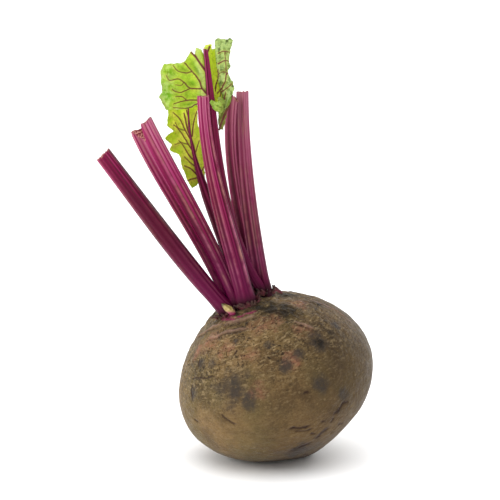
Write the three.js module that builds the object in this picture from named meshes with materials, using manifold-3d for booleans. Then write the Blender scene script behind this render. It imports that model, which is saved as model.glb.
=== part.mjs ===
// A beetroot as picked and trimmed: the swollen root stands on a small flat spot and leans a little,
// and seven cut leaf stalks rise from its crown. Two of the stalks still carry a torn piece of leaf.
// Millimetres, +Z up. The origin is the middle of the flat spot that the root rests on.
import * as THREE from "three";
import { mergeVertices } from "three/addons/utils/BufferGeometryUtils.js";
import Module from "manifold-3d";

const wasm = await Module();
wasm.setup();

// Root
const ROOT_RADIUS = 41.8;
const ROOT_CENTRE = new THREE.Vector3(2.6, 0.6, 30.9);
const ROOT_LEAN_LEFT = THREE.MathUtils.degToRad(20.5);
const ROOT_LEAN_FRONT = THREE.MathUtils.degToRad(8.1);
const CROWN_SWELL = 0.182;     // the crown end lies further from the centre than the tail end
const ROOT_FLATNESS = -0.104;  // squat: wider than it is tall
const ROOT_SHOULDER = -0.022;
const ROOT_SQUARENESS = 0.066; // flattened crown and tail with full shoulders
const ROOT_LOBES = [           // waves around the axis: count, share of the radius, phase
  { count: 2, swell: 0.008, phase: 0.6 },
  { count: 3, swell: 0.006, phase: 2.1 },
  { count: 5, swell: 0.003, phase: 4.0 },
];
const ROOT_SEGMENTS = 44;
const ROOT_BANDS = 26;

// Stalks and leaves
const STALK_SIDES = 16;
const STALK_RINGS = 18;
const STALK_SQUARENESS = 0.85; // below 1, a section is boxier than an ellipse
const BLADE_THICKNESS = 0.8;
const BLADE_COLUMNS = 9;       // from the midrib to either edge
const BLADE_ROWS = 12;
const GAP = 0.3;               // between pieces that touch

const POLE = new THREE.Vector3(0, 1, 0);
const rootAxis = new THREE.Vector3(-Math.tan(ROOT_LEAN_LEFT), -Math.tan(ROOT_LEAN_FRONT), 1).normalize();

const COLOURS = {
  skin: { color: 0x6b5a42, roughness: 0.78 },
  stalk: { color: 0x7d1f48, roughness: 0.42 },
  leaf: { color: 0x86a81c, roughness: 0.5 },
  bud: { color: 0xb8a24a, roughness: 0.55 },
  withered: { color: 0x3a2620, roughness: 0.85 },
};

// ---------- solids ----------

function toSolid(geometry) {
  const bare = geometry.clone();
  bare.deleteAttribute("normal");
  bare.deleteAttribute("uv");
  const merged = mergeVertices(bare, 1e-4);
  const vertProperties = new Float32Array(merged.attributes.position.array);
  const triVerts = new Uint32Array(merged.index.array);
  return new wasm.Manifold(new wasm.Mesh({ numProp: 3, vertProperties, triVerts }));
}

function toGeometry(solid) {
  const mesh = solid.getMesh();
  const geometry = new THREE.BufferGeometry();
  geometry.setAttribute("position", new THREE.BufferAttribute(new Float32Array(mesh.vertProperties), 3));
  geometry.setIndex(new THREE.BufferAttribute(new Uint32Array(mesh.triVerts), 1));
  geometry.computeVertexNormals();
  return geometry;
}

function piece(name, solid, colour) {
  const material = new THREE.MeshStandardMaterial({ ...COLOURS[colour], metalness: 0 });
  const mesh = new THREE.Mesh(toGeometry(solid), material);
  mesh.name = name;
  return mesh;
}

// A closed skin over rings of equal length, each end closed by a fan around its middle. The rings run
// anticlockwise as seen from the last one.
function loft(rings) {
  const sides = rings[0].length;
  const last = rings.length - 1;
  const points = rings.flat();
  for (const ring of [rings[0], rings[last]]) {
    const middle = new THREE.Vector3();
    ring.forEach((point) => middle.add(point));
    points.push(middle.divideScalar(sides));
  }
  const bottom = points.length - 2;
  const top = points.length - 1;
  const index = [];
  for (let side = 0; side < sides; side++) {
    const next = (side + 1) % sides;
    for (let ring = 0; ring < last; ring++) {
      const a = ring * sides + side;
      const b = ring * sides + next;
      index.push(a, b, b + sides, a, b + sides, a + sides);
    }
    index.push(bottom, next, side);
    index.push(top, last * sides + side, last * sides + next);
  }
  return new THREE.BufferGeometry().setFromPoints(points).setIndex(index);
}

// ---------- root ----------

// Distance from the root's centre to its skin, from the angle off the axis and the angle around it.
function rootReach(polar, around) {
  const c = Math.cos(polar);
  const c2 = c * c;
  const profile = 1 + CROWN_SWELL * c
    + ROOT_FLATNESS * (3 * c2 - 1) / 2
    + ROOT_SHOULDER * (5 * c2 - 3) * c / 2
    + ROOT_SQUARENESS * (35 * c2 * c2 - 30 * c2 + 3) / 8;
  let lobes = 1;
  for (const { count, swell, phase } of ROOT_LOBES) {
    lobes += swell * Math.sin(polar) ** 2 * Math.cos(count * around + phase);
  }
  return ROOT_RADIUS * profile * lobes;
}

// The root's skin, moved outwards by `grown`.
function rootBody(grown) {
  const geometry = new THREE.SphereGeometry(1, ROOT_SEGMENTS, ROOT_BANDS);
  const position = geometry.attributes.position;
  const point = new THREE.Vector3();
  for (let i = 0; i < position.count; i++) {
    point.fromBufferAttribute(position, i);
    const polar = Math.acos(THREE.MathUtils.clamp(point.y, -1, 1));
    point.multiplyScalar(rootReach(polar, Math.atan2(point.z, point.x)) + grown);
    position.setXYZ(i, point.x, point.y, point.z);
  }
  const turn = new THREE.Quaternion().setFromUnitVectors(POLE, rootAxis);
  geometry.applyQuaternion(turn);
  geometry.translate(ROOT_CENTRE.x, ROOT_CENTRE.y, ROOT_CENTRE.z);
  return toSolid(geometry);
}

// Everything below the surface that the root rests on.
function belowFloor() {
  const size = 4 * ROOT_RADIUS;
  const block = new THREE.BoxGeometry(size, size, size);
  block.translate(0, 0, -size / 2);
  return toSolid(block);
}

// A point near the crown: `right` and `back` from the axis in plan, `rise` above the crown's pole.
function atCrown(right, back, rise) {
  const pole = ROOT_CENTRE.clone().addScaledVector(rootAxis, rootReach(0, 0));
  const slope = -(rootAxis.x * right + rootAxis.y * back) / rootAxis.z;
  return pole.add(new THREE.Vector3(right, back, slope + rise));
}

// ---------- stalks ----------

// `route` runs from inside the crown to the cut end. `width` and `depth` are the section's full
// sizes at even steps along it. `facing` is the plan angle that the broad outer side looks to,
// 0 towards -Y and turning towards +X. `groove` is the channel: where it lies across the section,
// which side it is on (1 outer, -1 inner), how deep it is as a share of the depth, how wide.
// `cut` is how far short of the route's end the stalk stops, in mm, across the section.
const STALKS = {
  petiole_far_left: {
    route: [[-23, -9.5, 68], [-26, -11, 73.5], [-30, -11.5, 80], [-36.5, -12.5, 88.5], [-47, -14, 102],
      [-60, -16, 120], [-69.5, -17.5, 133], [-75, -18, 140.5]],
    width: [7, 8.6, 8.2, 7.4],
    depth: [6, 7.4, 6.8, 6],
    facing: -25,
    groove: { at: 0.1, side: -1, depth: 0.35, width: 0.45 },
    cut: (x) => 1.3 * (1 - x),
  },
  petiole_left: {
    route: [[-17, -9, 68], [-18.5, -10, 72.5], [-21, -10, 79], [-25, -10.5, 88], [-31.5, -11, 101],
      [-38.6, -11.5, 114.5], [-46.3, -12, 128], [-53.3, -13, 141.5], [-60, -14, 154.8]],
    width: [8, 9.6, 11.4, 11.6],
    depth: [6, 6.4, 6, 5.2],
    facing: -6,
    groove: { at: -0.42, side: 1, depth: 0.42, width: 0.24 },
    cut: (x) => 2.5 + (x < 0 ? 3.5 + 3 * Math.abs(x + 0.7) : 0),
  },
  petiole_front: {
    route: [[-12, -10, 68], [-12.5, -12, 74], [-15.3, -13, 84], [-18.9, -14, 97.5], [-22.4, -14.5, 110.5],
      [-25.8, -15, 124], [-28.6, -15, 137.5], [-30.5, -15, 150.5], [-31.8, -15, 165.5]],
    width: [7.4, 8.4, 6.4, 4.8],
    depth: [6, 6.6, 5.8, 4.2],
    facing: 4,
    groove: { at: 0, side: -1, depth: 0.4, width: 0.5 },
    cut: (x) => 0.5 * (1 + x),
  },
  petiole_lower_leaf: {
    route: [[-15, -5, 68], [-15.5, -5.5, 73], [-17.3, -5, 82], [-21.4, -4, 95.5], [-26, -3, 109],
      [-30, -2, 119], [-34, 0, 129], [-36.5, 2, 141.5], [-38.5, 3.5, 152.5], [-40.5, 5, 160]],
    width: [6, 6, 4, 1.4],
    depth: [5, 5, 3.4, 1.4],
    facing: 8,
    groove: { at: 0, side: -1, depth: 0.25, width: 0.5 },
    cut: () => 0.2,
  },
  petiole_upper_leaf: {
    route: [[-11, -3.5, 68], [-11.2, -3.8, 74], [-14, -4, 86.5], [-18, -4, 102.5], [-21.5, -4, 116],
      [-25.1, -3.5, 127], [-26.7, -3, 136], [-27.1, -3, 145], [-27.1, -2.5, 154.5], [-27.9, -2, 164],
      [-29.7, -1.5, 173.5], [-32.1, -1, 185]],
    width: [6, 6.4, 5, 1.9],
    depth: [5, 5.2, 4.2, 1.7],
    facing: 0,
    groove: { at: 0, side: -1, depth: 0.25, width: 0.5 },
    cut: (x) => 0.3 * (1 + x),
  },
  petiole_back_left: {
    route: [[-9, 3, 68], [-9, 3, 73.5], [-10.5, 4.5, 82], [-12.5, 6.5, 94.5], [-15, 8.5, 108],
      [-17.5, 9.5, 121], [-19.3, 11, 139], [-19.8, 12, 152.5], [-19.5, 12.5, 163.5]],
    width: [6.4, 6.6, 6.2, 5.4],
    depth: [5, 5.2, 4.8, 4],
    facing: 160,
    groove: { at: 0, side: -1, depth: 0.42, width: 0.45 },
    cut: (x) => 3 * Math.abs(x),
  },
  petiole_back_right: {
    route: [[-4.6, -3.5, 68], [-5, -3, 74], [-6.5, -1.5, 82], [-8.8, 1.5, 95], [-10.8, 4.5, 108],
      [-12.5, 7, 121.5], [-14.1, 10, 139], [-14.6, 12, 152.5], [-14.9, 14, 165.5]],
    width: [7.6, 7.6, 7, 5.8],
    depth: [6, 6, 5.4, 4.4],
    facing: 150,
    groove: { at: 0.1, side: -1, depth: 0.4, width: 0.5 },
    cut: (x) => 0.5 * Math.abs(x - 0.3),
  },
};

// The value at `u` (0 to 1) between evenly spaced stations.
function between(stations, u) {
  const place = u * (stations.length - 1);
  const low = Math.min(Math.floor(place), stations.length - 2);
  return THREE.MathUtils.lerp(stations[low], stations[low + 1], place - low);
}

function routeCurve(points) {
  const corners = points.map((point) => new THREE.Vector3(...point));
  return new THREE.CatmullRomCurve3(corners, false, "centripetal");
}

// A point of the unit section: an oval with flattened sides and its channel.
function sectionPoint(angle, groove) {
  const across = Math.sign(Math.cos(angle)) * Math.abs(Math.cos(angle)) ** STALK_SQUARENESS;
  const out = Math.sign(Math.sin(angle)) * Math.abs(Math.sin(angle)) ** STALK_SQUARENESS;
  const channel = groove.depth * Math.exp(-(((across - groove.at) / groove.width) ** 2));
  const sink = Math.sign(out) === groove.side ? channel : 0;
  return { across, out: out * (1 - 2 * sink) };
}

// The frame across a stalk at `u`: its middle, its side direction and its outer direction.
function stalkFrame(curve, facing, u) {
  const turn = THREE.MathUtils.degToRad(facing);
  const outer = new THREE.Vector3(Math.sin(turn), -Math.cos(turn), 0);
  const side = curve.getTangentAt(u).cross(outer).normalize();
  outer.crossVectors(side, curve.getTangentAt(u));
  return { middle: curve.getPointAt(u), side, outer };
}

// A stalk. With `grown` above 0 its section is moved outwards that much and its channel is filled.
function stalkBody(stalk, grown) {
  const groove = grown > 0 ? { ...stalk.groove, depth: 0 } : stalk.groove;
  const curve = routeCurve(stalk.route);
  const length = curve.getLength();
  const rings = [];
  for (let ring = 0; ring <= STALK_RINGS; ring++) {
    const points = [];
    for (let i = 0; i < STALK_SIDES; i++) {
      const { across, out } = sectionPoint(-2 * Math.PI * i / STALK_SIDES, groove);
      const u = (ring / STALK_RINGS) * (1 - stalk.cut(across) / length);
      const { middle, side, outer } = stalkFrame(curve, stalk.facing, u);
      middle.addScaledVector(side, across * (between(stalk.width, u) / 2 + grown));
      middle.addScaledVector(outer, out * (between(stalk.depth, u) / 2 + grown));
      points.push(middle);
    }
    rings.push(points);
  }
  return toSolid(loft(rings));
}

// ---------- leaf blades ----------

// Outlines in the XZ plane, from the side that each list starts on. Each half blade lies between
// the midrib and its own edge, and `bottom` and `top` run outwards from the midrib.
const BLADES = {
  leaf_blade_upper: {
    midrib: [[-28, 160.5], [-28.6, 166], [-30.1, 175], [-32.3, 184.6]],
    left: {
      edge: [[-48, 158.5], [-51, 163.5], [-49.6, 168], [-50.2, 173], [-49, 178.5]],
      bottom: [[-28, 160.5], [-34, 160.5], [-40, 158.6], [-48, 158.5]],
      top: [[-32.3, 184.6], [-35, 185], [-35.6, 183], [-37.2, 183.8], [-40.5, 179.6], [-49, 178.5]],
    },
    right: {
      edge: [[-18.5, 165.5], [-19, 171], [-20.6, 175], [-20.2, 181], [-18.7, 189]],
      bottom: [[-28, 160.5], [-25.5, 157.8], [-24.5, 160], [-23.4, 157.4], [-21, 162.5], [-18.5, 165.5]],
      top: [[-32.3, 184.6], [-30.4, 183], [-28, 185.4], [-25.5, 188], [-22, 189.4], [-18.7, 189]],
    },
    rib: "petiole_upper_leaf",
    lift: { left: (u) => -4.5 * u * u, right: (u) => (u < 0.45 ? 7.5 * u : 3.4 - 12 * (u - 0.45)) },
  },
  leaf_blade_lower: {
    midrib: [[-33.2, 126.5], [-36.4, 141.5], [-38.5, 152.5], [-40.4, 159.4]],
    left: {
      edge: [[-37, 123.5], [-42.3, 135.5], [-46.2, 141], [-48, 146], [-46.6, 150.5], [-47.8, 159.6]],
      bottom: [[-33.2, 126.5], [-35, 125], [-37, 123.5]],
      top: [[-40.4, 159.4], [-44, 159.8], [-47.8, 159.6]],
    },
    right: {
      edge: [[-31, 124.5], [-31.6, 133], [-32.6, 142], [-34.6, 153], [-34.2, 159.4]],
      bottom: [[-33.2, 126.5], [-32, 125.4], [-31, 124.5]],
      top: [[-40.4, 159.4], [-37, 159.8], [-34.2, 159.4]],
    },
    rib: "petiole_lower_leaf",
    lift: { left: (u) => 2 * u - 4 * u * u, right: (u) => 1.5 * u },
  },
};

// The point of a half blade at `u` out from the midrib and `v` up it, between its four outlines.
function patchPoint(half, midrib, u, v) {
  const inner = midrib.getPoint(v);
  const outer = half.edge.getPoint(v);
  const low = half.bottom.getPoint(u);
  const high = half.top.getPoint(u);
  const point = inner.clone().lerp(outer, u).add(low.clone().lerp(high, v));
  const base = midrib.getPoint(0).lerp(half.edge.getPoint(0), u);
  const crest = midrib.getPoint(1).lerp(half.edge.getPoint(1), u);
  return point.sub(base.lerp(crest, v));
}

function outline(points) {
  return new THREE.SplineCurve(points.map((point) => new THREE.Vector2(...point)));
}

// How far back, in Y, a rib's rear face is at height `z`.
function ribBack(stalk, z) {
  const curve = routeCurve(stalk.route);
  const halvings = 20;
  let low = 0;
  let high = 1;
  for (let step = 0; step < halvings; step++) {
    const u = (low + high) / 2;
    if (curve.getPointAt(u).z < z) low = u;
    else high = u;
  }
  return curve.getPointAt(low).y + between(stalk.depth, low) / 2;
}

// A closed sheet from rows that each run along the front and return along the back.
function sheet(rows) {
  const count = rows[0].length;
  const index = [];
  for (let row = 0; row < rows.length - 1; row++) {
    for (let i = 0; i < count; i++) {
      const a = row * count + i;
      const b = row * count + (i + 1) % count;
      index.push(a, b, b + count, a, b + count, a + count);
    }
  }
  const last = (rows.length - 1) * count;
  for (let i = 0; i < count / 2 - 1; i++) {
    const behind = count - 1 - i;
    index.push(i, behind, behind - 1, i, behind - 1, i + 1);
    index.push(last + i, last + i + 1, last + behind - 1, last + i, last + behind - 1, last + behind);
  }
  return new THREE.BufferGeometry().setFromPoints(rows.flat()).setIndex(index);
}

// A thin sheet behind its midrib: a grid of points, front and back, with a wall around the rim.
function bladeBody(blade) {
  const midrib = outline(blade.midrib);
  const halves = {};
  for (const side of ["left", "right"]) {
    const { edge, bottom, top } = blade[side];
    halves[side] = { edge: outline(edge), bottom: outline(bottom), top: outline(top) };
  }
  const rings = [];
  for (let row = 0; row <= BLADE_ROWS; row++) {
    const front = [];
    const back = [];
    for (let column = -BLADE_COLUMNS; column <= BLADE_COLUMNS; column++) {
      const side = column < 0 ? "left" : "right";
      const u = Math.abs(column) / BLADE_COLUMNS;
      const { x, y: z } = patchPoint(halves[side], midrib, u, row / BLADE_ROWS);
      const y = ribBack(STALKS[blade.rib], z) + GAP + blade.lift[side](u);
      front.push(new THREE.Vector3(x, y, z));
      back.unshift(new THREE.Vector3(x, y + BLADE_THICKNESS, z));
    }
    rings.push([...front, ...back]);
  }
  return toSolid(sheet(rings));
}

// ---------- crown trimmings ----------

// `right`, `back` and `rise` place each one on the crown. The bud is fuller at its foot by `fullness`.
// The scale leans over by `lean` degrees and its foot reaches `foot` into the crown.
const BUD = { right: -7, back: -9.7, rise: 0.5, radius: 2, height: 4.2, fullness: 0.25 };
const SCALE = { right: 14.2, back: 1.8, rise: -0.9, width: 5.2, height: 1.9, foot: 1.5, thickness: 1, lean: -32 };
const BUD_BANDS = 8;
const BUD_SIDES = 14;
const SCALE_CURVE_STEPS = 6;

// A blunt bud that has started beside the stalks.
function budBody() {
  const profile = [];
  for (let i = 0; i <= BUD_BANDS; i++) {
    const angle = Math.PI * i / BUD_BANDS;
    const radius = BUD.radius * Math.sin(angle) * (1 + BUD.fullness * Math.cos(angle));
    profile.push(new THREE.Vector2(radius, -BUD.height / 2 * Math.cos(angle)));
  }
  profile[0].x = 0;
  profile[BUD_BANDS].x = 0;
  const geometry = new THREE.LatheGeometry(profile, BUD_SIDES);
  geometry.rotateX(Math.PI / 2);
  const place = atCrown(BUD.right, BUD.back, BUD.rise);
  geometry.translate(place.x, place.y, place.z);
  return toSolid(geometry);
}

// The dry, pointed remains of an old leaf base at the edge of the crown.
function scaleBody() {
  const { width, height, foot, thickness } = SCALE;
  const shape = new THREE.Shape();
  shape.moveTo(-width / 2, -foot);
  shape.lineTo(width / 2, -foot);
  shape.quadraticCurveTo(width / 2, height * 0.6, width * 0.1, height);
  shape.quadraticCurveTo(-width / 2, height * 0.55, -width / 2, -foot);
  const settings = { depth: thickness, bevelEnabled: false, curveSegments: SCALE_CURVE_STEPS };
  const geometry = new THREE.ExtrudeGeometry(shape, settings);
  geometry.translate(0, 0, -thickness / 2);
  geometry.rotateX(Math.PI / 2);
  geometry.rotateY(THREE.MathUtils.degToRad(SCALE.lean));
  const place = atCrown(SCALE.right, SCALE.back, SCALE.rise);
  geometry.translate(place.x, place.y, place.z);
  return toSolid(geometry);
}

// ---------- the beetroot ----------

const beetroot = new THREE.Group();
const rootWithGap = rootBody(GAP);
beetroot.add(piece("beet_root", rootBody(0).subtract(belowFloor()), "skin"));

// Each stalk is cut by the crown and by the stalks in front of it, so that neighbours never meet.
let taken = rootWithGap;
const NEAREST_FIRST = ["petiole_front", "petiole_left", "petiole_far_left", "petiole_back_right",
  "petiole_lower_leaf", "petiole_upper_leaf", "petiole_back_left"];
for (const name of NEAREST_FIRST) {
  beetroot.add(piece(name, stalkBody(STALKS[name], 0).subtract(taken), "stalk"));
  taken = taken.add(stalkBody(STALKS[name], GAP));
}
for (const [name, blade] of Object.entries(BLADES)) {
  beetroot.add(piece(name, bladeBody(blade).subtract(taken), "leaf"));
}
beetroot.add(piece("bud_stub", budBody().subtract(taken), "bud"));
beetroot.add(piece("dry_scale", scaleBody().subtract(taken), "withered"));

export default beetroot;
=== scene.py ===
"""A beetroot as picked and trimmed, standing on its underside: rough brown root, ribbed red leaf stalks
and two torn pieces of leaf. Metres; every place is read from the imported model."""

import itertools
import math

import bpy
import numpy as np
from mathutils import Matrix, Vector
from mathutils.bvhtree import BVHTree


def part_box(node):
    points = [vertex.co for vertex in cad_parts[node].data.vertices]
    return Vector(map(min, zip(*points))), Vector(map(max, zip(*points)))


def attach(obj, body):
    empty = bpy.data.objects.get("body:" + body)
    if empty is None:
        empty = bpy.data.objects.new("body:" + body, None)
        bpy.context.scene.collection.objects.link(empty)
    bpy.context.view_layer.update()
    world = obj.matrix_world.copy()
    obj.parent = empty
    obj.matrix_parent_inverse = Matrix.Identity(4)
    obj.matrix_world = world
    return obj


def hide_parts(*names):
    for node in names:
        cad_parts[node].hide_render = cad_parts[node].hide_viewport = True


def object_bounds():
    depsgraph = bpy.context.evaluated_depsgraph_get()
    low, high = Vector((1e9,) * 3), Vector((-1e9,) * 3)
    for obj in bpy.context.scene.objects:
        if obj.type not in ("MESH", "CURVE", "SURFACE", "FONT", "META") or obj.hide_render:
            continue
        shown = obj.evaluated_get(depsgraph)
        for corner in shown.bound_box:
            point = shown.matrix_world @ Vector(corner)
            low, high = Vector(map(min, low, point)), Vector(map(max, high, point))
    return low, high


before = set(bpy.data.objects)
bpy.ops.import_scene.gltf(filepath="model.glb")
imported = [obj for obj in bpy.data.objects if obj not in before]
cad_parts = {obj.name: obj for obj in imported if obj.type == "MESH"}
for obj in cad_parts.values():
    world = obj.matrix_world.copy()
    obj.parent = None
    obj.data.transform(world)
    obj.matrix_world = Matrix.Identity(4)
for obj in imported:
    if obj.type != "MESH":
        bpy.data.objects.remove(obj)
CAD_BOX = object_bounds()
MM = 0.001
add_to_scene = bpy.context.scene.collection.objects.link

# ---------- camera, light and floor ----------

VIEW_ELEVATION = math.radians(9)
VIEW_DISTANCE = 0.75
LENS = 120
# Brightness of the surroundings towards the viewer, overhead and to the right; they are white behind.
FRONT_BRIGHTNESS = 0.72
TOP_BRIGHTNESS = 1.4
RIGHT_BRIGHTNESS = 0.8
SOFTBOX_SIZE = 0.4
SOFTBOX_AIM = Vector((0, 0, 0.08))
FLOOR_SIZE = 120
FLOOR_LIGHT_STRENGTH = 1.6
FLOOR_LIGHT_SPREAD = math.radians(70)
FLOOR_LIGHT_TILT = math.radians(18)
AIM_SHIFT = Vector((0.0047, 0, 0.0004))   # from the object's middle to the picture's middle


def add_camera():
    low, high = (Vector(corner) for corner in CAD_BOX)
    aim = (low + high) / 2 + AIM_SHIFT
    aim.y = 0
    towards = Vector((0, -math.cos(VIEW_ELEVATION), math.sin(VIEW_ELEVATION)))
    camera = bpy.data.objects.new("camera", bpy.data.cameras.new("camera"))
    camera.data.lens = LENS
    camera.location = aim + towards * VIEW_DISTANCE
    camera.rotation_euler = towards.to_track_quat("Z", "Y").to_euler()
    add_to_scene(camera)
    bpy.context.scene.camera = camera


def add_softbox(name, place, power):
    """A square lamp that looks at the stalks' feet."""
    light = bpy.data.lights.new(name, "AREA")
    light.size = SOFTBOX_SIZE
    light.energy = power
    lamp = bpy.data.objects.new(name, light)
    lamp.location = place
    lamp.rotation_euler = (Vector(place) - SOFTBOX_AIM).to_track_quat("Z", "Y").to_euler()
    add_to_scene(lamp)


def add_world():
    """White surroundings, brightest overhead and dimmer on the viewer's side, as before a lit backdrop."""
    world = bpy.data.worlds.new("studio")
    world.use_nodes = True
    n = Nodes(world.node_tree)
    parts = n.node("SeparateXYZ", Vector=n.node("TexCoord").outputs["Generated"]).outputs
    depth = n.ramp(parts["Y"], -0.7, 0.4, FRONT_BRIGHTNESS, 1.1)
    height = n.ramp(parts["Z"], 0.25, 0.9, 1.0, TOP_BRIGHTNESS)
    sideways = n.ramp(parts["X"], -0.3, 0.9, 1.0, RIGHT_BRIGHTNESS)
    background = n.tree.nodes["Background"]
    n.link(n.product(n.product(depth, height), sideways), background.inputs["Strength"])
    n.link((1, 1, 1), background.inputs["Color"])
    bpy.context.scene.world = world
    bpy.context.scene.view_settings.view_transform = "Standard"


def add_floor():
    half = FLOOR_SIZE / 2
    mesh = bpy.data.meshes.new("floor")
    corners = [(-half, -half, 0), (half, -half, 0), (half, half, 0), (-half, half, 0)]
    mesh.from_pydata(corners, [], [(0, 1, 2, 3)])
    floor = bpy.data.objects.new("floor", mesh)
    add_to_scene(floor)
    material = bpy.data.materials.new("floor_paper")
    material.use_nodes = True
    shader = material.node_tree.nodes["Principled BSDF"]
    shader.inputs["Base Color"].default_value = (0.95, 0.95, 0.95, 1)
    shader.inputs["Roughness"].default_value = 0.6
    mesh.materials.append(material)
    return floor


def add_floor_light(floor):
    """A broad light from above that whitens the floor alone."""
    sun = bpy.data.lights.new("floor_light", "SUN")
    sun.energy = FLOOR_LIGHT_STRENGTH
    sun.angle = FLOOR_LIGHT_SPREAD
    lamp = bpy.data.objects.new("floor_light", sun)
    lamp.rotation_euler = (FLOOR_LIGHT_TILT, 0, 0)
    add_to_scene(lamp)
    lit = bpy.data.collections.new("lit_by_floor_light")
    lit.objects.link(floor)
    lamp.light_linking.receiver_collection = lit


# ---------- repeatable noise ----------

def lattice(cell, seed):
    """A fixed random value from 0 to 1 for each whole-number cell."""
    n = cell[..., 0] * 374761393 + cell[..., 1] * 668265263 + cell[..., 2] * 974634777 + seed * 1442695041
    n = ((n & 0xFFFFFFFF) ^ ((n & 0xFFFFFFFF) >> 13)) * 1274126177
    n = (n & 0xFFFFFFFF) ^ ((n & 0xFFFFFFFF) >> 16)
    return (n & 0xFFFFFF) / 0xFFFFFF


def noise(points, size, seed):
    """Smooth noise from -1 to 1 that changes over `size`."""
    place = points / size
    cell = np.floor(place).astype(np.int64)
    part = place - cell
    part = part * part * (3 - 2 * part)
    total = np.zeros(points.shape[:-1])
    for corner in itertools.product((0, 1), repeat=3):
        weight = np.prod(np.where(np.array(corner) == 1, part, 1 - part), axis=-1)
        total += weight * lattice(cell + np.array(corner), seed)
    return 2 * total - 1


def layered_noise(points, size, seed, layers):
    """Noise with finer and weaker layers added."""
    total = np.zeros(points.shape[:-1])
    for layer in range(layers):
        total += noise(points, size / 2 ** layer, seed + 17 * layer) / 2 ** layer
    return total / (2 - 2 ** (1 - layers))


def smooth(low, high, value):
    """0 below `low`, 1 above `high` and a smooth step between them."""
    part = np.clip((value - low) / (high - low), 0, 1)
    return part * part * (3 - 2 * part)


def unit(vector):
    """The vector, or each of an array of vectors, with length 1."""
    return vector / (np.linalg.norm(vector, axis=-1, keepdims=True) + 1e-12)


def bell(value, width):
    """1 where `value` is 0, fading on both sides."""
    return np.exp(-(value / width) ** 2)


def spline(points, t):
    """Points of a smooth curve through `points`, at `t` from 0 to 1."""
    points = np.array(points, float)
    points = np.vstack([2 * points[0] - points[1], points, 2 * points[-1] - points[-2]])
    place = np.clip(t, 0, 1) * (len(points) - 3)
    start = np.minimum(place.astype(int), len(points) - 4)
    part = (place - start)[..., None]
    a, b, c, d = (points[start + k] for k in range(4))
    return 0.5 * (2 * b + (c - a) * part + (2 * a - 5 * b + 4 * c - d) * part ** 2
                  + (3 * b - a - 3 * c + d) * part ** 3)


# ---------- meshes ----------

def grid_faces(rows, columns, start=0):
    """Quads over a grid of points whose last column joins its first."""
    row = np.arange(rows - 1)[:, None] * columns + start
    column = np.arange(columns)[None, :]
    after = (column + 1) % columns
    quads = np.stack([row + column, row + after, row + columns + after, row + columns + column], -1)
    return quads.reshape(-1, 4)


def shell(front, back, start=0):
    """Points and faces of the closed body between a front and a back grid of points."""
    ring = np.concatenate([front, back[:, ::-1]], axis=1)
    rows, count = ring.shape[:2]
    faces = grid_faces(rows, count, start).tolist()
    top = start + (rows - 1) * count
    for k in range(count // 2 - 1):
        faces.append([start + k + 1, start + k, start + count - 1 - k, start + count - 2 - k])
        faces.append([top + k, top + k + 1, top + count - 2 - k, top + count - 1 - k])
    return ring.reshape(-1, 3), faces


def add_piece(name, points, faces, material, node, masks):
    """A smooth mesh that rides on the root, with one number or vector per point for each mask."""
    mesh = bpy.data.meshes.new(name)
    mesh.from_pydata(points.tolist(), [], faces)
    mesh.validate()
    for mask, values in masks.items():
        kind, field = ("FLOAT", "value") if values.ndim == 1 else ("FLOAT_VECTOR", "vector")
        data = mesh.attributes.new(mask, kind, "POINT").data
        data.foreach_set(field, values.astype(np.float32).reshape(-1))
    mesh.polygons.foreach_set("use_smooth", [True] * len(mesh.polygons))
    mesh.materials.append(material)
    piece = bpy.data.objects.new(name, mesh)
    add_to_scene(piece)
    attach(piece, "root")
    if node:
        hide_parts(node)


# ---------- material tools ----------

class Nodes:
    """A node tree, built up by short calls that return sockets."""

    def __init__(self, tree):
        self.tree = tree

    def link(self, value, socket):
        if isinstance(value, bpy.types.NodeSocket):
            self.tree.links.new(value, socket)
        elif isinstance(value, tuple) and len(socket.default_value) == 4:
            socket.default_value = (*value, 1)
        else:
            socket.default_value = value

    def node(self, kind, **settings):
        """A new node with the named inputs set, their names with underscores for spaces."""
        node = self.tree.nodes.new("ShaderNode" + kind)
        for name, value in settings.items():
            self.link(value, node.inputs[name.replace("_", " ")])
        return node

    def ramp(self, value, start, end, low, high):
        """From `low` to `high` as the value goes from `start` to `end`."""
        return self.node("MapRange", Value=value, From_Min=start, From_Max=end, To_Min=low,
                         To_Max=high).outputs["Result"]

    def maths(self, operation, *values):
        node = self.node("Math")
        node.operation = operation
        for value, socket in zip(values, node.inputs):
            self.link(value, socket)
        return node.outputs["Value"]

    def product(self, a, b):
        return self.maths("MULTIPLY", a, b)


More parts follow.
